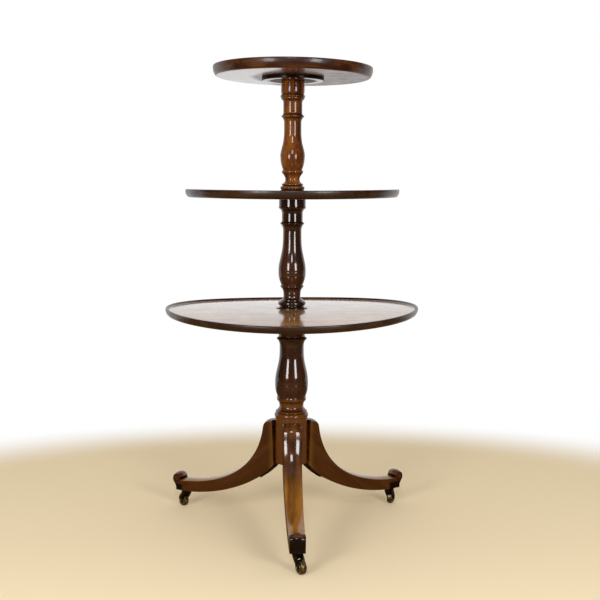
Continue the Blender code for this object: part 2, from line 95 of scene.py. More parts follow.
def ranged(tree, value, low, high, start=0.0, end=1.0, kind="SMOOTHSTEP"):
    return addNode(tree, "ShaderNodeMapRange", {"interpolation_type": kind},
                   {"Value": value, "From Min": low, "From Max": high, "To Min": start,
                    "To Max": end}).outputs["Result"]


def between(tree, factor, start, end):
    return ranged(tree, factor, 0.0, 1.0, start, end)


def blend(tree, factor, first, second, kind="MIX"):
    return addNode(tree, "ShaderNodeMix", {"data_type": "RGBA", "blend_type": kind},
                   {"Factor": factor, "A": first, "B": second}).outputs["Result"]


def noise(tree, place, scale, detail, roughness=0.5):
    return addNode(tree, "ShaderNodeTexNoise", {}, {"Vector": place, "Scale": scale, "Detail": detail,
                                                    "Roughness": roughness}).outputs["Fac"]


def along(tree, bent, width, length, detail, roughness=0.5):
    # Noise drawn out along the grain
    stretched = vectorMaths(tree, "MULTIPLY", bent, (1 / width, 1 / width, 1 / length))
    return noise(tree, stretched, 1.0, detail, roughness)


def mapped(tree, place, location, turn):
    return addNode(tree, "ShaderNodeMapping", {"vector_type": "TEXTURE"},
                   {"Vector": place, "Location": location,
                    "Rotation": [math.radians(a) for a in turn]}).outputs["Vector"]


def ramp(tree, factor, *stops):
    node = addNode(tree, "ShaderNodeValToRGB", {}, {"Fac": factor})
    elements = node.color_ramp.elements
    while len(elements) < len(stops):
        elements.new(0.5)
    for element, (position, shade) in zip(elements, stops):
        element.position = position
        element.color = shade
    return node.outputs["Color"]


def bumped(tree, height, strength, distance):
    return addNode(tree, "ShaderNodeBump", {}, {"Height": height, "Strength": strength,
                                                "Distance": distance}).outputs["Normal"]


mahoganyLooks = {
    "grain": {
        "ringSpacing": 0.011,  # growth rings of a slow tree
        "fibre": 0.0011,       # fibres are finer in truth, and drawn this coarse to show
        "fibreLong": 0.05,
        "pore": 0.0009,        # open pores filled with dark polish, also drawn coarse
        "poreLong": 0.009,
        "ribbon": 0.024,       # interlocked grain gives soft stripes about this wide
        "ribbonLong": 0.30,
        "wander": 0.035,       # how far the grain strays
        "wanderScale": 2.6,
    },
    "polish": {"roughness": 0.42, "coatRoughness": 0.10, "coatIor": 1.46, "specular": 0.03, "coat": 1.0},
    # pith is where the tree's heart lies from the piece, and turn which way its grain runs
    "lowerColumn": {"dark": "#110602", "mid": "#220E04", "light": "#3A1B08", "faded": "#40200B",
                    "pith": (0.11, 0.05, 0), "turn": (0, 0, 0), "ribbons": 0.8,
                    "drum": "#5E330F", "drumTop": 0.350, "drumFade": 0.03},
    "middleColumn": {"dark": "#120703", "mid": "#241006", "light": "#40200E", "faded": "#482814",
                     "pith": (-0.09, 0.07, 0), "turn": (0, 0, 0), "ribbons": 0.8},
    "upperColumn": {"dark": "#2C1105", "mid": "#5A2B0B", "light": "#865019", "faded": "#8E5A22",
                    "pith": (0.07, -0.09, 0), "turn": (0, 0, 0), "ribbons": 0.8,
                    "coat": 0.6, "coatRoughness": 0.09},
    # A look's rim colour is painted shade on the down-turned outer edge of a tier or the boss; a tier's
    # underside takes it in streaks too
    "tier": {"dark": "#64390F", "mid": "#98642A", "light": "#B07C3E", "faded": "#B48246",
             "pith": (0.02, -0.31, 0), "turn": (0, 90, 0), "ribbons": 0.62, "rim": "#1F0C04",
             "specular": 0.4, "roughness": 0.32},
    "upperTier": {"dark": "#4A240C", "mid": "#744519", "light": "#8C5C2A", "faded": "#8A5C2C",
                  "pith": (0.02, -0.31, 0), "turn": (0, 90, 0), "ribbons": 0.62, "rim": "#260B04",
                  "specular": 0.22, "roughness": 0.32},
    "boss": {"dark": "#2E1709", "mid": "#4B2A12", "light": "#603A1A", "faded": "#60391B",
             "pith": (0.0, 0.22, 0), "turn": (0, 90, 0), "ribbons": 0.62, "rim": "#120706"},
    "leg": {"dark": "#231006", "mid": "#40200B", "light": "#5E3712", "faded": "#6A421A",
            "pith": (0.0, -0.16, 0.1), "turn": (0, 127, 0), "ribbons": 0.86, "coatRoughness": 0.11},
    # Near black: painted shade at the toe and in the scroll's groove and crease, and in the hollows old polish
    # and painted shade together
    "shadeAndGrime": "#0C0503",
}

# Colours painted on the legs: the flanks' colour is painted shade, the pale colour painted light on the
# up-facing top further out and on the flanks by the drum, and the toe block, groove and crease take painted
# shade
legPaintedLightAndTone = {  # reaches and heights are measured from the column's axis and the floor
    "flank": "#3A1D05",
    "paintedLight": "#8C5C22", "paintedLightRun": (0.105, 0.150), "rootLightRun": (0.060, 0.040), "rootLightShare": 0.25,
    "toeTop": "#3C1A0C", "toeRun": (0.3275, 0.3335),
    "toeShadeRun": 0.010, "toeShadeRise": 0.004,
    "scroll": (0.3435, 0.0825), "groove": 0.0098, "grooveHalf": 0.0024, "grooveCore": 0.0008,
    "crease": (0.3290, 0.0820), "creaseRun": (0.0065, 0.0025),
    "dullShare": 0.35,
}


def markRim(tree, look, edge, body, local, height, bent, stripe):
    # The rim's outer edge, which turns down away from the light, is painted dark as painted shade, and its coat
    # is thinner.
    # A boss is dull inside it, and a tier's thinly polished underside streaked with the same dark colour
    flat = vectorMaths(tree, "MULTIPLY", local, (1, 1, 0))
    reach = vectorMaths(tree, "LENGTH", flat, output="Value")
    onRim = ranged(tree, reach, *edge["shadedRim"])
    # Painted shade on the rim, a little lighter along the ribbon stripes
    shadedRim = times(tree, onRim, between(tree, stripe, 1.0, edge["rimShadeLeast"]))
    body = blend(tree, shadedRim, body, colour(look["rim"]))
    cover = between(tree, onRim, 1.0, edge["coatRim"])
    if "dull" in edge:
        cover = times(tree, cover, ranged(tree, reach, *edge["dull"], edge["coatInside"], 1.0))
    if "under" in edge:
        streak = ranged(tree, along(tree, bent, edge["streak"], edge["streakLong"], 2.0), 0.3, 0.7)
        under = ranged(tree, height, edge["under"] + 0.0006, edge["under"] + 0.0002)
        body = blend(tree, times(tree, under, between(tree, streak, 0.2, 0.7)), body, colour(look["rim"]))
        cover = times(tree, cover, between(tree, under, 1.0, 0.25))
        cover = times(tree, cover, between(tree, times(tree, under, streak), 1.0, 0.5))
    return body, cover


def markLeg(tree, toe, body, local, spot, stripe):
    paintedTone = legPaintedLightAndTone
    paintedLight = colour(paintedTone["paintedLight"])

    def away(centre):
        # Distance from a line across the leg at this reach and height
        hub = addNode(tree, "ShaderNodeCombineXYZ", {}, {"X": centre[0], "Z": centre[1]}).outputs["Vector"]
        side = vectorMaths(tree, "MULTIPLY", local, (1, 0, 1))
        return vectorMaths(tree, "DISTANCE", side, hub, output="Value")

    # The flanks are painted darker than the top, as painted shade on the side faces. The top further out, which
    # faces up, is painted paler as painted light, and the top of the scroll at the toe is darker
    flank = addNode(tree, "ShaderNodeAttribute", {"attribute_name": "flank"}).outputs["Fac"]
    # Painted light: the up-facing top further out is painted paler
    litTop = times(tree, ranged(tree, spot["X"], *paintedTone["paintedLightRun"]), between(tree, stripe, 0.35, 0.85))
    body = blend(tree, times(tree, litTop, between(tree, flank, 1.0, 0.0)), body, paintedLight)
    # Painted shade on the flanks
    body = blend(tree, times(tree, flank, between(tree, stripe, 0.95, 0.7)), body, colour(paintedTone["flank"]))
    # Painted light on the flanks near the drum, where the corner against it would shade them
    root = ranged(tree, spot["X"], *paintedTone["rootLightRun"], 0.0, paintedTone["rootLightShare"])
    body = blend(tree, times(tree, flank, root), body, paintedLight)
    toeTopDark = times(tree, ranged(tree, spot["X"], *paintedTone["toeRun"]), between(tree, stripe, 0.95, 0.75))
    body = blend(tree, toeTopDark, body, colour(paintedTone["toeTop"]))

    # The toe's outer block under the scroll, which faces down, and the scroll's groove and crease are painted
    # near black as painted shade
    outer = ranged(tree, spot["X"], toe["start"], toe["start"] + paintedTone["toeShadeRun"])
    low = ranged(tree, spot["Z"], toe["low"] + paintedTone["toeShadeRise"], toe["low"] - paintedTone["toeShadeRise"])
    fromScroll = away(paintedTone["scroll"])
    ring, half, core = paintedTone["groove"], paintedTone["grooveHalf"], paintedTone["grooveCore"]
    groove = times(tree, ranged(tree, fromScroll, ring - half, ring - core),
                   ranged(tree, fromScroll, ring + half, ring + core))
    groove = times(tree, times(tree, groove, flank), 0.85)
    crease = ranged(tree, away(paintedTone["crease"]), *paintedTone["creaseRun"])
    paintedShade = maths(tree, "MAXIMUM", times(tree, outer, low), maths(tree, "MAXIMUM", groove, crease))
    dull = paintedTone["dullShare"]
    cover = times(tree, between(tree, flank, 1.0, dull), between(tree, paintedShade, 1.0, dull))
    return body, paintedShade, cover


def mahogany(name, look, turnZ=0.0, edge=None, toe=None):
    # French-polished mahogany: deep brown wood with soft rings and ribbons and short dark pores, under many
    # coats of shellac that mirror their surroundings sharply. The hollows are darkened, partly by old polish
    # there and partly as painted shade
    grain, polish = mahoganyLooks["grain"], mahoganyLooks["polish"]
    material, tree, shader = newMaterial(name)
    place = addNode(tree, "ShaderNodeTexCoord").outputs["Object"]
    local = mapped(tree, place, (0, axisY, 0), (0, 0, turnZ))
    turned = mapped(tree, local, look["pith"], look["turn"])
    wander = addNode(tree, "ShaderNodeTexNoise", {}, {"Vector": turned, "Scale": grain["wanderScale"],
                                                      "Detail": 2.0}).outputs["Color"]
    bent = vectorMaths(tree, "MULTIPLY_ADD", wander, (grain["wander"], grain["wander"], 0.0), turned)

    # The wave texture repeats every 0.314 over its scale
    rings = addNode(tree, "ShaderNodeTexWave", {"wave_type": "RINGS", "rings_direction": "Z"},
                    {"Vector": bent, "Scale": 0.314 / grain["ringSpacing"], "Distortion": 2.4, "Detail": 2.0,
                     "Detail Scale": 0.6, "Detail Roughness": 0.6}).outputs["Fac"]
    ribbon = along(tree, bent, grain["ribbon"], grain["ribbonLong"], 3.0)
    fibre = along(tree, bent, grain["fibre"], grain["fibreLong"], 3.0, 0.6)
    pore = along(tree, bent, grain["pore"], grain["poreLong"], 1.0)
    fading = noise(tree, place, 5.5, 3.0)

    dark, mid, light, faded = (colour(look[key]) for key in ("dark", "mid", "light", "faded"))
    ringShade = ramp(tree, rings, (0.05, mid), (0.6, light), (0.97, dark))
    ribbonShade = ramp(tree, ribbon, (0.34, dark), (0.52, mid), (0.70, light))
    body = blend(tree, look["ribbons"], ringShade, ribbonShade)
    body = blend(tree, ranged(tree, fading, 0.45, 0.72, 0.0, 0.55), body, faded)
    stripe = ranged(tree, ribbon, 0.3, 0.7)
    spot = addNode(tree, "ShaderNodeSeparateXYZ", {}, {"Vector": local}).outputs
    cover = paintedShade = None
    if "drum" in look:
        # The drum between the legs, and the column up to drumTop, are blended to a warmer brown
        drum = ranged(tree, spot["Z"], look["drumTop"], look["drumTop"] - look["drumFade"])
        body = blend(tree, times(tree, drum, between(tree, stripe, 0.6, 0.9)), body, colour(look["drum"]))
    if edge:
        body, cover = markRim(tree, look, edge, body, local, spot["Z"], bent, stripe)
    if toe:
        body, paintedShade, cover = markLeg(tree, toe, body, local, spot, stripe)
    fibreTone = ramp(tree, fibre, (0.36, grey(0.66)), (0.5, grey(0.94)), (0.66, grey(1.14)))
    body = blend(tree, 0.7, body, fibreTone, "MULTIPLY")
    poreTone = ramp(tree, pore, (0.30, grey(0.4)), (0.38, grey(1.0)))
    body = blend(tree, 0.6, body, poreTone, "MULTIPLY")
    # Painted shade at the toe, in the groove and in the crease
    if paintedShade:
        body = blend(tree, paintedShade, body, colour(mahoganyLooks["shadeAndGrime"]))
    # Hollows darkened: old polish and painted shade
    hollow = addNode(tree, "ShaderNodeAttribute", {"attribute_name": "hollow"}).outputs["Fac"]
    body = blend(tree, ranged(tree, hollow, 0.0, 0.85, 0.0, 0.9), body, colour(mahoganyLooks["shadeAndGrime"]))

    finish = {**polish, **look}
    smear = noise(tree, place, 22.0, 4.0, 0.65)
    gloss = ranged(tree, smear, 0.2, 0.8, finish["roughness"] - 0.08, finish["roughness"] + 0.12)
    grainHeight = maths(tree, "MULTIPLY_ADD", fibre, 0.4, poreTone)
    ripple = noise(tree, place, 45.0, 1.0)
    feed(tree, shader, {"Base Color": body, "Roughness": gloss,
                        "Normal": bumped(tree, grainHeight, 0.08, 0.0004),
                        "Coat Normal": bumped(tree, ripple, 0.015, 0.0006), "IOR": 1.5,
                        "Specular IOR Level": finish["specular"], "Coat Weight": finish["coat"],
                        "Coat Roughness": finish["coatRoughness"], "Coat IOR": finish["coatIor"]})
    if cover:
        feed(tree, shader, {"Coat Weight": cover})
    return material


metalLooks = {
    "rubbedBrass": {"clean": "#C2B084", "dull": "#77694A", "black": "#231D13",
                    "metallic": 1.0, "roughness": 0.28, "patch": 0.009, "grit": 0.0006},
    "blackedBrass": {"clean": "#4A3D24", "dull": "#1E1810", "black": "#0C0906",
                     "metallic": 1.0, "roughness": 0.44, "patch": 0.009, "grit": 0.0006},
    "turnedSteel": {"clean": "#76706A", "dull": "#4B4641", "black": "#1C1917",
                    "metallic": 1.0, "roughness": 0.42, "patch": 0.006, "grit": 0.0005},
    "blackedIron": {"clean": "#3A3532", "dull": "#2A2522", "black": "#160F0B",
                    "metallic": 0.85, "roughness": 0.58, "patch": 0.014, "grit": 0.0009},
}


def agedMetal(name, look):
    # Old metal: a dark skin in patches, with the bare metal rubbed through here and there, and a fine grit
    material, tree, shader = newMaterial(name)
    place = addNode(tree, "ShaderNodeTexCoord").outputs["Object"]
    patches = noise(tree, place, 1 / look["patch"], 5.0, 0.62)
    grit = noise(tree, place, 1 / look["grit"], 2.0)
    tone = ramp(tree, patches, (0.36, colour(look["black"])), (0.52, colour(look["dull"])),
                (0.70, colour(look["clean"])))
    gloss = ranged(tree, patches, 0.35, 0.7, look["roughness"] + 0.18, look["roughness"] - 0.08, "LINEAR")
    height = maths(tree, "MULTIPLY_ADD", grit, 0.5, patches)
    feed(tree, shader, {"Metallic": look["metallic"], "Base Color": tone, "Roughness": gloss,
                        "Normal": bumped(tree, height, 0.25, 0.0003)})
    return material


def bezier(points, steps):
    corners = [Vector((x, z, 0.0)) for x, z in points]
    return [(p.x, p.y) for p in interpolate_bezier(*corners, steps + 1)[1:]]


def arc(centre, radius, start, end, steps):
    angles = [math.radians(start + (end - start) * i / steps) for i in range(steps + 1)]
    return [(centre[0] + radius * math.cos(a), centre[1] + radius * math.sin(a)) for a in angles]


turnings = {"pitch": 2.0, "longRun": 4.0, "support": 1.1, "handle": 0.4, "sharpBend": 18}


def turning(topRadius, top, elements):
    # (end radius, drop) is a straight run and (end radius, drop, lean, lean) a hollow or a swell
    radius, height = topRadius, top
    points = [(radius, height)]
    for element in elements:
        endRadius, drop = element[:2]
        end = (endRadius, height - drop)
        if len(element) == 2:
            # A point near each end of a long run keeps its shading flat
            if drop > turnings["longRun"]:
                near = turnings["support"] / drop
                points += [(radius + (endRadius - radius) * share, height - drop * share)
                           for share in (near, 1 - near)]
            points.append(end)
        else:
            leanStart, leanEnd = (math.radians(a) for a in element[2:])
            chord = math.hypot(endRadius - radius, drop)
            pull = turnings["handle"] * chord
            first = (radius + pull * math.sin(leanStart), height - pull * math.cos(leanStart))
            last = (endRadius - pull * math.sin(leanEnd), end[1] + pull * math.cos(leanEnd))
            points += bezier([(radius, height), first, last, end], max(4, round(chord / turnings["pitch"])))
        radius, height = end
    return points


def eased(points, size, closed=False):
    # Rub down each crisp corner of an outline, as sandpaper and polish do
    softened = []
    count = len(points)
    for i, here in enumerate(points):
        if not closed and i in (0, count - 1):
            softened.append(here)
            continue
        corner = Vector(here)
        back, ahead = Vector(points[i - 1]) - corner, Vector(points[(i + 1) % count]) - corner
        if not back.length or not ahead.length:
            continue
        bend = math.degrees(math.pi - back.angle(ahead))
        if bend < turnings["sharpBend"]:
            softened.append(here)
            continue
        reach = min(size, 0.42 * back.length, 0.42 * ahead.length)
        before, after = corner + back.normalized() * reach, corner + ahead.normalized() * reach
        middle = (before + after) / 4 + corner / 2
        softened += [tuple(before), tuple(middle), tuple(after)]
    return softened


def hollowness(outline, reach=4.5, full=5.0):
    # How deep each point of an outline lies in a hollow, from 0 to 1
    depths = []
    for r, z in outline:
        near = [q[0] for q in outline if abs(q[1] - z) < reach]
        depth = (max(near) - r) * 0.5 + (sum(near) / len(near) - r)
        depths.append(max(0.0, min(1.0, depth / full)))
    return depths


def spinOutline(bm, outline, sides, place=None, closed=False, depths=None):
    layer = bm.verts.layers.float.get("hollow") or bm.verts.layers.float.new("hollow")
    older = set(bm.verts)
    verts = [bm.verts.new((r * millimetre, 0, z * millimetre)) for r, z in outline]
    for vert, depth in zip(verts, depths or [0.0] * len(verts)):
        vert[layer] = depth
    pairs = list(zip(verts, verts[1:])) + ([(verts[-1], verts[0])] if closed else [])
    edges = [bm.edges.new(pair) for pair in pairs]
    bmesh.ops.spin(bm, geom=verts + edges, cent=(0, 0, 0), axis=(0, 0, 1), dvec=(0, 0, 0), angle=math.tau,
                   steps=sides, use_merge=True, use_duplicate=False)
    bmesh.ops.remove_doubles(bm, verts=[v for v in bm.verts if v not in older], dist=1e-6)
    bmesh.ops.transform(bm, matrix=place or columnPlace, verts=[v for v in bm.verts if v not in older])


def addObject(name, bm):
    mesh = bpy.data.meshes.new(name)
    bm.to_mesh(mesh)
    bm.free()
    made = bpy.data.objects.new(name, mesh)
    bpy.context.scene.collection.objects.link(made)
    return made


def finishPiece(name, bm, material, body, nodes, sharpAngle=38.0):
    bmesh.ops.recalc_face_normals(bm, faces=bm.faces)
    piece = addObject(name, bm)
    piece.data.shade_smooth()
    piece.data.set_sharp_from_angle(angle=math.radians(sharpAngle))
    piece.data.materials.append(material)
    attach(piece, body)
    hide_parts(*nodes)
    return piece


def addCutter(bm):
    bmesh.ops.recalc_face_normals(bm, faces=bm.faces)
    return addObject("cutter", bm)


def cutAway(piece, cutters):
    # Boolean cuts, applied at once so that the finished piece holds a plain mesh
    for cutter in cutters:
        modifier = piece.modifiers.new("cut", "BOOLEAN")
        modifier.operation = "DIFFERENCE"
        modifier.solver = "EXACT"
        modifier.object = cutter
    bpy.context.view_layer.update()
    graph = bpy.context.evaluated_depsgraph_get()
    mesh = bpy.data.meshes.new_from_object(piece.evaluated_get(graph))
    piece.modifiers.clear()
    old = piece.data
    piece.data = mesh
    bpy.data.meshes.remove(old)
    for cutter in cutters:
        bpy.data.objects.remove(cutter)


tiers = {
    # grainTurn is the angle of the board's grain, sag its bend in front and behind, wind its rise to one side
    "lower": {"radius": 318.5, "bottom": 555.0, "thick": 18.0, "sag": 11.0, "wind": 0.0067, "bore": 15.4,
              "look": "tier", "grainTurn": 4.0, "rimShadeLeast": 0.95},
    "middle": {"radius": 267.0, "bottom": 847.0, "thick": 20.0, "sag": 4.0, "wind": 0.0040, "bore": 13.4,
               "look": "tier", "grainTurn": -7.0, "rimShadeLeast": 0.95},
    "upper": {"radius": 198.0, "bottom": 1142.0, "thick": 25.0, "sag": 0.0, "wind": -0.0110, "bore": 15.4,
              "look": "upperTier", "grainTurn": 2.0, "rimShadeLeast": 0.8, "blindBore": 8.0},
    "dishDepth": 5.5, "lipWidth": 6.5, "cove": 4.5, "coveEnd": -8.0, "lipInset": 1.9, "lipInner": 1.5,
    "lipOuter": 2.4, "ovoloWide": 11.0, "ovoloShare": 0.82, "seat": 45.0, "sides": 180, "rounds": 24,
    "rimShadeRun": (10.0, 7.5),  # in from the edge
    "coatRim": 0.15, "streak": 0.004, "streakLong": 0.2,
}


def seatOf(tier):
    return tier["bottom"], tier["bottom"] + tier["thick"] - tiers["dishDepth"]


def dishEndOf(tier):
    return tier["radius"] - tiers["lipWidth"] - tiers["cove"]


def tierOutline(tier):
    radius, bottom = tier["radius"], tier["bottom"]
    top = bottom + tier["thick"]
    low, high = seatOf(tier)
    dishEnd, seat = dishEndOf(tier), tiers["seat"]
    inner, outer, bow = tiers["lipInner"], tiers["lipOuter"], tiers["cove"]

    def rounds(height, end):
        count = tiers["rounds"]
        return [(seat + (end - seat) * i / count, height) for i in range(count + 1)]

    cove = arc((dishEnd, high + bow), bow, -90, tiers["coveEnd"], 8)[1:]
    lip = arc((radius - tiers["lipWidth"] + tiers["lipInset"], top - inner), inner, 150, 90, 4)
    lip += arc((radius - outer, top - outer), outer, 90, 0, 6)
    wide, tall = tiers["ovoloWide"], tiers["ovoloShare"] * tier["thick"]
    ovolo = [(radius - wide * (1 - x), bottom + tall * (1 - z)) for x, z in arc((0, 0), 1.0, 0, 90, 14)]
    return rounds(high, dishEnd) + cove + lip + ovolo + rounds(low, radius - wide)[::-1][1:]


def settle(bm, tier):
    # An old board bends across its grain: the tier sinks in front and behind, and one side rises a little
    for vert in bm.verts:
        y = vert.co.y - axisY
        reach = math.hypot(vert.co.x, y)
        share = min(1.0, (reach / millimetre - tiers["seat"]) / (dishEndOf(tier) - tiers["seat"]))
        if share > 0.0:
            vert.co.z += share * vert.co.x * tier["wind"] - tier["sag"] * millimetre * (share * y / reach) ** 2


def makeTiers():
    for name in ("lower", "middle", "upper"):
        tier = tiers[name]
        low, high = seatOf(tier)
        bore, blind = tier["bore"], tier.get("blindBore")
        if blind:
            outline = [(0, high)] + tierOutline(tier) + [(bore, low), (bore, low + blind), (0, low + blind)]
        else:
            outline = [(bore, high)] + tierOutline(tier) + [(bore, low)]
        bm = bmesh.new()
        spinOutline(bm, outline, tiers["sides"], closed=not blind)
        settle(bm, tier)
        edge = {"shadedRim": [(tier["radius"] - a) * millimetre for a in tiers["rimShadeRun"]],
                "rimShadeLeast": tier["rimShadeLeast"], "coatRim": tiers["coatRim"], "under": tier["bottom"] * millimetre,
                "streak": tiers["streak"], "streakLong": tiers["streakLong"]}
        wood = mahogany("frenchPolishedMahogany_%sTier" % name, mahoganyLooks[tier["look"]],
                        tier["grainTurn"], edge)
        finishPiece(name + "TierBoard", bm, wood, name + "_tier", [name + "_tier"])
    print("tiers made")


boss = {"radius": 77.0, "bottom": 1133.7, "top": 1141.7, "round": 1.2, "chamfer": 0.8, "bore": 15.4,
        "sides": 128, "grainTurn": 20.0, "screwRadius": 59.5, "screws": 4, "sunk": 0.2,
        "head": 4.4, "shank": 2.0, "screwLength": 18.0, "slotStart": 25.0, "slotStep": 40.0,
        "edge": {"shadedRim": (0.0755, 0.0762), "rimShadeLeast": 0.93, "coatRim": 0.1,
                 "dull": (0.0560, 0.0600), "coatInside": 0.02}}


def screwOutline(size, grow=0.0, run=0.0):
    # The grown outline with a run is the hole's, and starts well outside the face
    head, shank = size["head"] + grow, size["shank"] + grow
    cone = size["head"] - size["shank"]
    tip = [(0, run), (shank, run)] if run else [(0, size["screwLength"]), (shank, size["screwLength"] - 2.0)]
    start = [(head, -4.0), (0, -4.0)] if grow else [(head - 0.3, 0.0), (0, 0.0)]
    return tip + [(shank, cone + 0.5), (head, 0.5)] + start


def makeScrew(name, place, size, steel, body, node, slotTurn):
    bm = bmesh.new()
    spinOutline(bm, screwOutline(size), 24, place)
    screw = finishPiece(name, bm, steel, body, [node])
    slot = bmesh.new()
    bmesh.ops.create_cube(slot, size=1.0)
    wide, narrow, deep = 3 * size["head"], 0.22 * size["head"], 0.9
    bmesh.ops.scale(slot, vec=(wide * millimetre, narrow * millimetre, deep * millimetre), verts=slot.verts)
    bmesh.ops.transform(slot, matrix=place @ Matrix.Rotation(math.radians(slotTurn), 4, "Z"), verts=slot.verts)
    cutAway(screw, [addCutter(slot)])


def screwHole(place, size, grow, run, sides):
    bm = bmesh.new()
    spinOutline(bm, screwOutline(size, grow, run), sides, place)
    return addCutter(bm)


def aroundCircle(place, i, count, radius, height):
    return place @ Matrix.Rotation(math.tau * i / count, 4, "Z") @ Matrix.Translation(
        (radius * millimetre, 0, height * millimetre))


def makeBoss(steel):
    radius, top, bottom, corner = boss["radius"], boss["top"], boss["bottom"], boss["round"]
    outline = [(boss["bore"], top), (radius - boss["chamfer"], top), (radius, top - boss["chamfer"])]
    outline += arc((radius - corner, bottom + corner), corner, 0, -90, 8) + [(boss["bore"], bottom)]
    bm = bmesh.new()
    spinOutline(bm, outline, boss["sides"], closed=True)
    wood = mahogany("frenchPolishedMahogany_boss", mahoganyLooks["boss"], boss["grainTurn"], boss["edge"])
    block = finishPiece("bossBlock", bm, wood, "upper_tier", ["upper_tier_boss"])
    holes = []
    for i in range(boss["screws"]):
        place = aroundCircle(columnPlace, i, boss["screws"], boss["screwRadius"], bottom + boss["sunk"])
        holes.append(screwHole(place, boss, 0.4, 30.0, 24))
        makeScrew("bossScrewShown%d" % (i + 1), place, boss, steel, "upper_tier", "boss_screw_%d" % (i + 1),
                  boss["slotStart"] + boss["slotStep"] * i)
    cutAway(block, holes)
    print("boss made")


columns = {
    "sides": 112, "ease": 0.45, "insideRadius": 17.0,
    "lower": {
        "top": 554.7, "radius": 42.5, "slot": "dark_mahogany",
        "spigot": [(0, 597.0), (10.2, 597.0), (11, 596.2), (11, 567.5), (15, 567.5), (15, 554.7)],
        "turning": [(42.5, 21.7), (43.2, 1.0), (43.2, 1.5), (42.0, 2.0), (33.5, 15.0, -55, 0), (33.5, 18.0),
                    (39.1, 5.0), (38.5, 1.5), (30.9, 25.0, -50, 0), (35.7, 44.5, 0, 13), (42.4, 45.0, 13, 0),
                    (41.8, 0.5), (42.4, 0.5), (36.0, 32.5, 0, -22), (37.6, 3.5), (37.4, 6.0),
                    (31.0, 13.5, -50, 0), (34.0, 9.0, 0, 45), (40.5, 6.0, 45, 60), (40.5, 1.5), (38.5, 1.5),
                    (43.6, 7.5, 60, 0), (42.0, 2.5, 0, -60), (42.0, 12.0), (41.2, 0.6)],
        "foot": [(41.2, 168.0), (0, 168.0)]},
    "middle": {
        "top": 846.7, "radius": 33.6, "slot": "dark_mahogany",
        "spigot": [(0, 883.0), (7.8, 883.0), (8.5, 882.3), (8.5, 861.5), (13, 861.5), (13, 846.7)],
        "turning": [(33.6, 23.5), (34.2, 0.8), (34.2, 1.4), (33.2, 1.8), (26.2, 13.0, -55, 0), (26.2, 20.0),
                    (30.6, 4.2), (30.4, 1.2), (23.3, 27.0, -50, 0), (28.4, 52.0, 0, 12), (34.7, 40.3, 12, 0),
                    (34.1, 0.5), (34.7, 0.5), (27.2, 33.0, 0, -24), (29.6, 3.5), (29.4, 2.0),
                    (21.7, 18.0, -50, 0), (25.5, 14.0, 0, 50), (28.5, 0.8), (28.5, 1.5), (35.0, 7.0, 60, 0),
                    (30.5, 6.2, 0, -75), (39.5, 5.2, 10, 80)],
        "foot": [(39.5, 567.8), (11.4, 567.8), (11.4, 597.6), (0, 597.6)]},
    "upper": {
        "top": 1133.4, "radius": 28.3, "slot": "golden_mahogany",
        "spigot": [(0, 1149.5), (14.4, 1149.5), (15, 1148.9), (15, 1133.4)],
        "turning": [(29.3, 21.4, 3, 0), (28.0, 11.0, 0, -12), (26.8, 1.2), (31.0, 3.3, 70, 0),
                    (28.8, 2.8, 0, -70), (29.4, 1.4), (29.4, 2.0), (23.6, 9.2, -50, 0), (23.6, 25.0),
                    (28.7, 8.2, 0, 55), (28.7, 1.4), (21.5, 14.4, -50, 0), (21.5, 19.0), (24.2, 32.0, 0, 9),
                    (30.8, 28.5, 15, 8), (30.3, 0.5),
                    (30.8, 0.5), (23.8, 35.5, -3, -24), (26.8, 4.6), (26.8, 2.6), (18.0, 17.3, -35, 0),
                    (21.0, 7.5, 0, 45), (25.4, 3.4, 45, 60), (27.0, 0.8), (27.0, 2.0), (24.0, 1.6),
                    (30.5, 5.6, 65, 0), (28.5, 3.6, 0, -55), (40.0, 3.7, 10, 78)],
        "foot": [(40.0, 861.8), (8.9, 861.8), (8.9, 883.6), (0, 883.6)]},
}


def makeColumns():
    for name in ("lower", "middle", "upper"):
        length = columns[name]
        outside = turning(length["radius"], length["top"], length["turning"])
        outline = eased(length["spigot"] + outside + length["foot"], columns["ease"])
        depths = [0.0 if z > length["top"] or r < columns["insideRadius"] else depth
                  for (r, z), depth in zip(outline, hollowness(outline))]
        bm = bmesh.new()
        spinOutline(bm, outline, columns["sides"], depths=depths)
        wood = mahogany("frenchPolishedMahogany_%sColumn" % name, mahoganyLooks[name + "Column"])
        finishPiece(name + "ColumnTurned", bm, wood, "root", [name + "_column"])
    print("column turned")


legs = {
    "angles": {"front": -90.0, "right": 30.0, "left": 150.0},
    "root": 39.6, "drum": 41.2, "reach": 358.0, "rootTop": 277.0, "rootBottom": 160.0,
    "halfRoot": 24.0, "halfToe": 18.1, "crownRoot": 5.0, "crownToe": 3.5, "arris": 1.3, "border": 0.8,
    "cutsAcross": 13, "sharpAngle": 40.0,
    "shoulder": [(46, 277), (66, 277), (73.2, 270), (75.5, 258)],
    "upperCurve": [(75.5, 258), (89.5, 148.5), (185.5, 89), (329.1, 80.5)],
    "lowerCurve": [(303, 50), (190, 58), (78, 107), (33.1, 168)],
    "scroll": (343.5, 82.5), "scrollRadius": 14.5, "scrollTurn": (188.0, -42.0),
    "toe": [(345.3, 60.5), (344.8, 50.0)],
    # Where each toe block starts to take painted shade, by reach and height
    "toeShade": {"front": {"start": 0.336, "low": 0.092}, "left": {"start": 0.320, "low": 0.067},
                  "right": {"start": 0.304, "low": 0.069}},
}


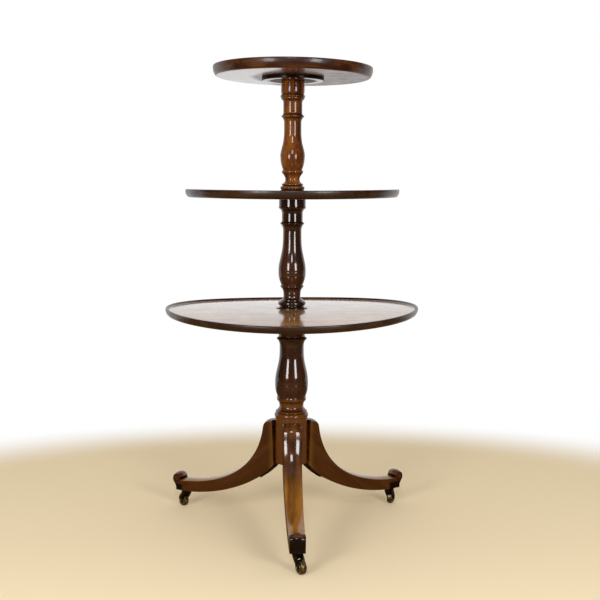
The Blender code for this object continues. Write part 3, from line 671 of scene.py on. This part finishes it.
def legOutline():
    # Reach, height and how far the crown shows there, from 0 to 1
    shoulder = [legs["shoulder"][0]] + bezier(legs["shoulder"], 8)
    upper = bezier(legs["upperCurve"], 30)
    top = [(x, z, 1.0) for x, z in shoulder + upper]
    for x, z in arc(legs["scroll"], legs["scrollRadius"], *legs["scrollTurn"], 28)[1:]:
        below = (legs["scroll"][1] - z) / legs["scrollRadius"]
        top.append((x, z, max(0.0, min(1.0, 1.0 - below))))
    toe = [(x, z, 0.0) for x, z in legs["toe"] + legs["lowerCurve"][:1]]
    under = [(x, z, 0.0) for x, z in bezier(legs["lowerCurve"], 26) if x > legs["root"]]
    start, end = (legs["root"], legs["rootTop"], 1.0), (legs["root"], legs["rootBottom"], 0.0)
    return [start] + top + toe + under + [end]


def tapered(x, start, end):
    share = (x - legs["drum"]) / (legs["reach"] - legs["drum"])
    return start + (end - start) * share


def legBlank():
    # The side view, one unit to each side, is cut into strips, spread to its width and bowed to its crown
    outline = legOutline()
    bm = bmesh.new()
    fallX, fallZ = bm.verts.layers.float.new("fallX"), bm.verts.layers.float.new("fallZ")
    verts = []
    for i, (x, z, crowned) in enumerate(outline):
        ahead, behind = outline[(i + 1) % len(outline)], outline[i - 1]
        outward = Vector((behind[1] - ahead[1], ahead[0] - behind[0])).normalized()
        crown = tapered(x, legs["crownRoot"], legs["crownToe"]) * crowned
        vert = bm.verts.new((x, -1.0, z))
        vert[fallX], vert[fallZ] = -outward.x * crown, -outward.y * crown
        verts.append(vert)
    made = bmesh.ops.extrude_face_region(bm, geom=[bm.faces.new(verts)])["geom"]
    bmesh.ops.translate(bm, verts=[v for v in made if isinstance(v, bmesh.types.BMVert)], vec=(0, 2, 0))
    ribs = [e for e in bm.edges if abs(e.verts[0].co.y - e.verts[1].co.y) > 1.5]
    bmesh.ops.subdivide_edges(bm, edges=ribs, cuts=legs["cutsAcross"], use_grid_fill=True)
    for vert in bm.verts:
        across = vert.co.y
        half = tapered(vert.co.x, legs["halfRoot"], legs["halfToe"])
        vert.co.x += vert[fallX] * across ** 2
        vert.co.z += vert[fallZ] * across ** 2
        vert.co.y = across * half
    return bm


def makeLegs():
    for side, angle in legs["angles"].items():
        bm = legBlank()
        bmesh.ops.recalc_face_normals(bm, faces=bm.faces)
        rims = [e for e in bm.edges if len(e.link_faces) == 2 and e.calc_face_angle() > 1.0
                and abs(abs(e.verts[0].co.y) - abs(e.verts[1].co.y)) < 0.5]
        bmesh.ops.bevel(bm, geom=rims, offset=legs["arris"], segments=3, profile=0.5, affect="EDGES",
                        material=-1, clamp_overlap=True)
        # A narrow border inside each flank keeps its shading flat
        flanks = [f for f in bm.faces if len(f.verts) > 60]
        bmesh.ops.inset_individual(bm, faces=flanks, thickness=legs["border"], use_even_offset=True)
        flank = bm.verts.layers.float.new("flank")
        for vert in bm.verts:
            half = tapered(vert.co.x, legs["halfRoot"], legs["halfToe"])
            vert[flank] = 1.0 if abs(vert.co.y) > half - 0.2 else 0.0
        turn = columnPlace @ Matrix.Rotation(math.radians(angle), 4, "Z") @ Matrix.Scale(millimetre, 4)
        bmesh.ops.transform(bm, matrix=turn, verts=bm.verts)
        wood = mahogany("frenchPolishedMahogany_%sLeg" % side, mahoganyLooks["leg"], angle,
                        toe=legs["toeShade"][side])
        finishPiece(side + "LegCarved", bm, wood, "root", ["leg_" + side], legs["sharpAngle"])
    print("legs carved")


castors = {
    "pivotRadius": 321.7, "trails": {"front": -62.0, "right": 62.0, "left": 125.0}, "trail": 17.0,
    "axleHeight": 17.0 * math.cos(math.pi / 16), "wheelRadius": 16.677, "wheelHalf": 6.5, "treadHalf": 4.0,
    "plate": 16.5, "plateTop": 49.7, "plateThick": 2.5, "bore": 3.3, "pin": 3.0,
    "screws": 3, "screwCircle": 13.1, "sunk": 0.1, "slotStart": 15.0, "slotStep": 70.0,
    "head": 2.5, "shank": 1.3, "screwLength": 12.0,
    "hornTop": 46.9, "hornRadius": 12.5, "hornBottom": 38.3, "ringDrop": 6.8,
    "armInner": 7.2, "armThick": 3.0, "cheekRound": 0.7, "eye": 4.8,
    "axle": 2.0, "axleHead": 3.3, "axleHole": 2.3,
}


def makeCastor(side, brass, dark, steel):
    angle = math.radians(legs["angles"][side])
    x, y = (castors["pivotRadius"] * f(angle) * millimetre for f in (math.cos, math.sin))
    pivot = columnPlace @ Matrix.Translation((x, y, 0))
    fixed = pivot @ Matrix.Rotation(angle, 4, "Z")
    swivel = pivot @ Matrix.Rotation(math.radians(castors["trails"][side]), 4, "Z")
    hub = Matrix.Translation((castors["trail"] * millimetre, 0, castors["axleHeight"] * millimetre))
    axle = swivel @ hub @ Matrix.Rotation(math.pi / 2, 4, "X")

    rim, top, bore = castors["plate"], castors["plateTop"], castors["bore"]
    low = top - castors["plateThick"]
    outline = eased([(bore, top), (rim, top), (rim, low + 0.6), (rim - 0.6, low), (bore, low)], 0.25, True)
    bm = bmesh.new()
    spinOutline(bm, outline, 64, fixed, closed=True)
    plate = finishPiece(side + "CastorPlateCast", bm, dark, "root", ["castor_plate_" + side])
    holes = []
    for i in range(castors["screws"]):
        place = aroundCircle(fixed, i, castors["screws"], castors["screwCircle"], low + castors["sunk"])
        holes.append(screwHole(place, castors, 0.25, 20.0, 20))
        makeScrew("%sCastorScrewShown%d" % (side, i + 1), place, castors, steel, "root",
                  "castor_screw_%s_%d" % (side, i + 1), castors["slotStep"] * i + castors["slotStart"])
    cutAway(plate, holes)

    pin, under = castors["pin"], castors["hornBottom"] - 0.3
    outline = eased([(0, top - 0.1), (pin, top - 0.1), (pin, under), (4.6, under), (4.3, under - 1.2),
                     (pin, under - 2.1), (0, under - 2.4)], 0.2)
    bm = bmesh.new()
    spinOutline(bm, outline, 32, fixed)
    finishPiece(side + "CastorPinTurned", bm, steel, "root", ["castor_pivot_" + side])

    # The horn's crown, with a ring under it that closes the gap between the two cheeks
    rim, top, low = castors["hornRadius"], castors["hornTop"], castors["hornBottom"]
    ringLow = low - castors["ringDrop"]
    outline = eased([(bore, top), (rim - 1.2, top), (rim, top - 1.2), (rim - 0.8, top - 4.0), (rim - 3.2, low),
                     (7.2, low - 3.6), (6.6, ringLow), (5.2, ringLow), (5.2, low), (bore, low)], 0.5, True)
    bm = bmesh.new()
    spinOutline(bm, outline, 48, swivel, closed=True)
    inner, thick = castors["armInner"], castors["armThick"]
    for start in (-inner - thick, inner):
        addCheek(bm, start, swivel)
    horn = finishPiece(side + "CastorHornCast", bm, dark, "castor_swivel_" + side, ["castor_horn_" + side])
    hole = bmesh.new()
    spinOutline(hole, [(0, 20), (castors["axleHole"], 20), (castors["axleHole"], -20), (0, -20)], 32, axle)
    cutAway(horn, [addCutter(hole)])

    reach, thin, head = inner + thick + 0.3, castors["axle"], castors["axleHead"]
    half = [(0, reach + 1.3), (2.2, reach + 1.1), (head, reach + 0.2), (head, reach), (thin, reach)]
    bm = bmesh.new()
    spinOutline(bm, eased(half + mirrored(half), 0.15), 32, axle)
    finishPiece(side + "CastorAxleTurned", bm, steel, "castor_swivel_" + side, ["castor_axle_" + side])

    rim, wide, tread = castors["wheelRadius"], castors["wheelHalf"], castors["treadHalf"]
    half = [(castors["axleHole"], wide + 0.4), (5.0, wide + 0.4), (6.0, wide - 2.2), (rim - 4.6, wide - 2.2),
            (rim - 3.4, wide - 0.4), (rim - 1.5, wide), (rim - 0.3, tread + 0.9), (rim, tread - 1.0)]
    bm = bmesh.new()
    spinOutline(bm, eased(half + mirrored(half), 0.5, True), 96, axle, closed=True)
    finishPiece(side + "CastorWheelTurned", bm, brass, "castor_roll_" + side, ["castor_wheel_" + side])


def mirrored(outline):
    return [(r, -z) for r, z in outline[::-1]]


def addCheek(bm, inner, place):
    # One cheek of the horn, from its crown down and back to the axle's eye
    eye = arc((castors["trail"], castors["axleHeight"]), castors["eye"], 20, -150, 14)
    back = bezier([eye[-1], (8.5, 23.0), (-3.0, 30.0), (-8.0, 41.5)], 12)
    front = bezier([(9.5, 44.5), (14.0, 38.0), (20.5, 28.0), eye[0]], 12)
    loop = eye + back + [(-6.0, 45.6), (6.0, 45.6), (9.5, 44.5)] + front[:-1]
    older = set(bm.verts)
    face = bm.faces.new([bm.verts.new((x * millimetre, inner * millimetre, z * millimetre)) for x, z in loop])
    made = bmesh.ops.extrude_face_region(bm, geom=[face])["geom"]
    moved = [v for v in made if isinstance(v, bmesh.types.BMVert)]
    bmesh.ops.translate(bm, verts=moved, vec=(0, castors["armThick"] * millimetre, 0))
    fresh = [v for v in bm.verts if v not in older]
    bmesh.ops.recalc_face_normals(bm, faces=list({f for v in fresh for f in v.link_faces}))
    rims = [e for e in {e for v in fresh for e in v.link_edges}
            if abs(e.verts[0].co.y - e.verts[1].co.y) < 1e-6 and e.calc_face_angle() > 1.0]
    bmesh.ops.bevel(bm, geom=rims, offset=castors["cheekRound"] * millimetre, segments=3, profile=0.5,
                    affect="EDGES", material=-1, clamp_overlap=True)
    bmesh.ops.transform(bm, matrix=place, verts=[v for v in bm.verts if v not in older])


def dressBrace(iron, steel):
    # The strap and its screws keep their own meshes
    for name, metal in [("leg_brace", iron)] + [("leg_brace_screw_" + mark, steel)
                                                for mark in ("centre", "front", "right", "left")]:
        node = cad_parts[name]
        node.data.materials.clear()
        node.data.materials.append(metal)
    print("brace dressed")


studio = {
    "floor": "#E3D1AE", "floorInGloss": "#9A7038", "paintRoughness": 0.75,
    "halfWide": 7.0, "front": -6.0, "wallDistance": 3.1, "wallTop": 4.5, "sweep": 0.9,
    "fade": (0.80, 1.20), "squash": 0.7,
    "ambient": 0.68, "frontGlow": 0.05, "behindRun": (0.35, 0.80), "aboveRun": (0.55, 0.95), "aboveGlow": 0.45,
    "viewTurn": -3.06, "aimHeight": 0.75,
    # turn, distance, height, size and power
    "lamps": {"lampLeft": (-32.0, 3.0, 1.12, (0.76, 1.0), 48.0),
              "lampRight": (32.0, 3.0, 1.12, (0.76, 1.0), 48.0),
              "lampTop": (-1.5, 2.3, 1.8, (0.48, 0.48), 14.0)},
}


def raySorts(tree):
    # Is the ray the camera's own, and has it been mirrored or bent
    path = addNode(tree, "ShaderNodeLightPath").outputs
    return path["Is Camera Ray"], maths(tree, "MAXIMUM", path["Is Glossy Ray"], path["Is Transmission Ray"])


def makeFloor():
    distance, bend, wide = studio["wallDistance"], studio["sweep"], studio["halfWide"]
    profile = [(studio["front"], 0.0), (0.0, 0.0), (distance - bend, 0.0)]
    profile += arc((distance - bend, bend), bend, -90, 0, 24)[1:] + [(distance, studio["wallTop"])]
    bm = bmesh.new()
    verts = [bm.verts.new((-wide, y, z)) for y, z in profile]
    edges = [bm.edges.new(pair) for pair in zip(verts, verts[1:])]
    made = bmesh.ops.extrude_edge_only(bm, edges=edges)["geom"]
    bmesh.ops.translate(bm, verts=[v for v in made if isinstance(v, bmesh.types.BMVert)], vec=(2 * wide, 0, 0))
    for face in bm.faces:
        face.normal_update()
        if face.normal.z < face.normal.y:
            face.normal_flip()
    sweep = addObject("studioSweep", bm)
    sweep.data.shade_smooth()

    # Matt paint: sand-coloured round the object, where it takes the shadow, and paling to the white of the
    # wall further out. Gloss sees that white behind the object, and a darker, more golden floor in front
    material, tree, shader = newMaterial("mattPalePaint")
    place = addNode(tree, "ShaderNodeTexCoord").outputs["Object"]
    depth = addNode(tree, "ShaderNodeSeparateXYZ", {}, {"Vector": place}).outputs["Y"]
    squashed = addNode(tree, "ShaderNodeMapping", {}, {"Vector": place, "Location": (0, -axisY, 0),
                                                       "Scale": (studio["squash"], 1, 1)}).outputs["Vector"]
    away = ranged(tree, vectorMaths(tree, "LENGTH", squashed, output="Value"), *studio["fade"])
    behind = ranged(tree, depth, *studio["fade"])
    direct, mirrorRay = raySorts(tree)
    paint = blend(tree, mirrorRay, colour(studio["floor"]), colour(studio["floorInGloss"]))
    feed(tree, shader, {"Base Color": paint, "Roughness": studio["paintRoughness"]})
    white = addNode(tree, "ShaderNodeEmission", {}, {"Color": grey(1.0), "Strength": 1.0})
    share = maths(tree, "MULTIPLY_ADD", direct, away, times(tree, mirrorRay, behind))
    mixed = addNode(tree, "ShaderNodeMixShader", {}, {0: share, 1: shader.outputs["BSDF"],
                                                      2: white.outputs["Emission"]})
    feed(tree, tree.nodes["Material Output"], {"Surface": mixed.outputs["Shader"]})
    sweep.data.materials.append(material)


def makeSky():
    # White all round for the eye. Gloss sees white behind and above, and little light in front
    world = bpy.data.worlds.new("studioRoom")
    bpy.context.scene.world = world
    world.use_nodes = True
    tree = world.node_tree
    tree.nodes.clear()
    place = addNode(tree, "ShaderNodeTexCoord").outputs["Generated"]
    spot = addNode(tree, "ShaderNodeSeparateXYZ", {}, {"Vector": place}).outputs
    behind = ranged(tree, spot["Y"], *studio["behindRun"])
    above = ranged(tree, spot["Z"], *studio["aboveRun"], 0.0, studio["aboveGlow"])
    bright = maths(tree, "MAXIMUM", behind, above)
    gloss = ranged(tree, bright, 0.0, 1.0, studio["frontGlow"], 1.0, "LINEAR")
    direct, mirrorRay = raySorts(tree)
    lit = addNode(tree, "ShaderNodeMix", {"data_type": "FLOAT"},
                  {"Factor": mirrorRay, "A": studio["ambient"], "B": gloss}).outputs["Result"]
    seen = addNode(tree, "ShaderNodeMix", {"data_type": "FLOAT"},
                   {"Factor": direct, "A": lit, "B": 1.0}).outputs["Result"]
    glow = addNode(tree, "ShaderNodeBackground", {}, {"Color": grey(1.0), "Strength": seen})
    addNode(tree, "ShaderNodeOutputWorld", {}, {"Surface": glow.outputs["Background"]})


def makeLamps():
    for name, (turn, distance, height, size, power) in studio["lamps"].items():
        light = bpy.data.lights.new(name, "AREA")
        light.shape = "RECTANGLE"
        light.size, light.size_y = size
        light.energy = power
        lamp = bpy.data.objects.new(name, light)
        bpy.context.scene.collection.objects.link(lamp)
        angle = math.radians(-90 + studio["viewTurn"] + turn)
        lamp.location = (distance * math.cos(angle), axisY + distance * math.sin(angle), height)
        aim = Vector((0, axisY, studio["aimHeight"])) - lamp.location
        lamp.rotation_euler = aim.to_track_quat("-Z", "Y").to_euler()


cameraSet = {"lens": 59.43, "turn": -3.06, "pitch": 0.107, "roll": 0.0055, "place": (0.0205, -2.5, 0.8564)}


def makeCamera():
    data = bpy.data.cameras.new("camera")
    data.lens, data.sensor_width = cameraSet["lens"], 36.0
    camera = bpy.data.objects.new("camera", data)
    bpy.context.scene.collection.objects.link(camera)
    turn = Matrix.Rotation(math.radians(cameraSet["turn"]), 4, "Z")
    tilt = Euler((math.pi / 2 - cameraSet["pitch"], 0, 0)).to_matrix().to_4x4()
    camera.matrix_world = (columnPlace @ turn @ Matrix.Translation(cameraSet["place"]) @ tilt
                           @ Matrix.Rotation(cameraSet["roll"], 4, "Z"))
    bpy.context.scene.camera = camera


makeCamera()
makeFloor()
makeSky()
makeLamps()
bpy.context.scene.view_settings.view_transform = "Standard"
print("studio lit")
rubbedBrass = agedMetal("rubbedCastBrass", metalLooks["rubbedBrass"])
blackedBrass = agedMetal("blackedCastBrass", metalLooks["blackedBrass"])
turnedSteel = agedMetal("dullTurnedSteel", metalLooks["turnedSteel"])
blackedIron = agedMetal("blackedWroughtIron", metalLooks["blackedIron"])
makeTiers()
makeBoss(blackedIron)
makeColumns()
makeLegs()
for legSide in legs["angles"]:
    makeCastor(legSide, rubbedBrass, blackedBrass, turnedSteel)
print("castors made")
dressBrace(blackedIron, turnedSteel)
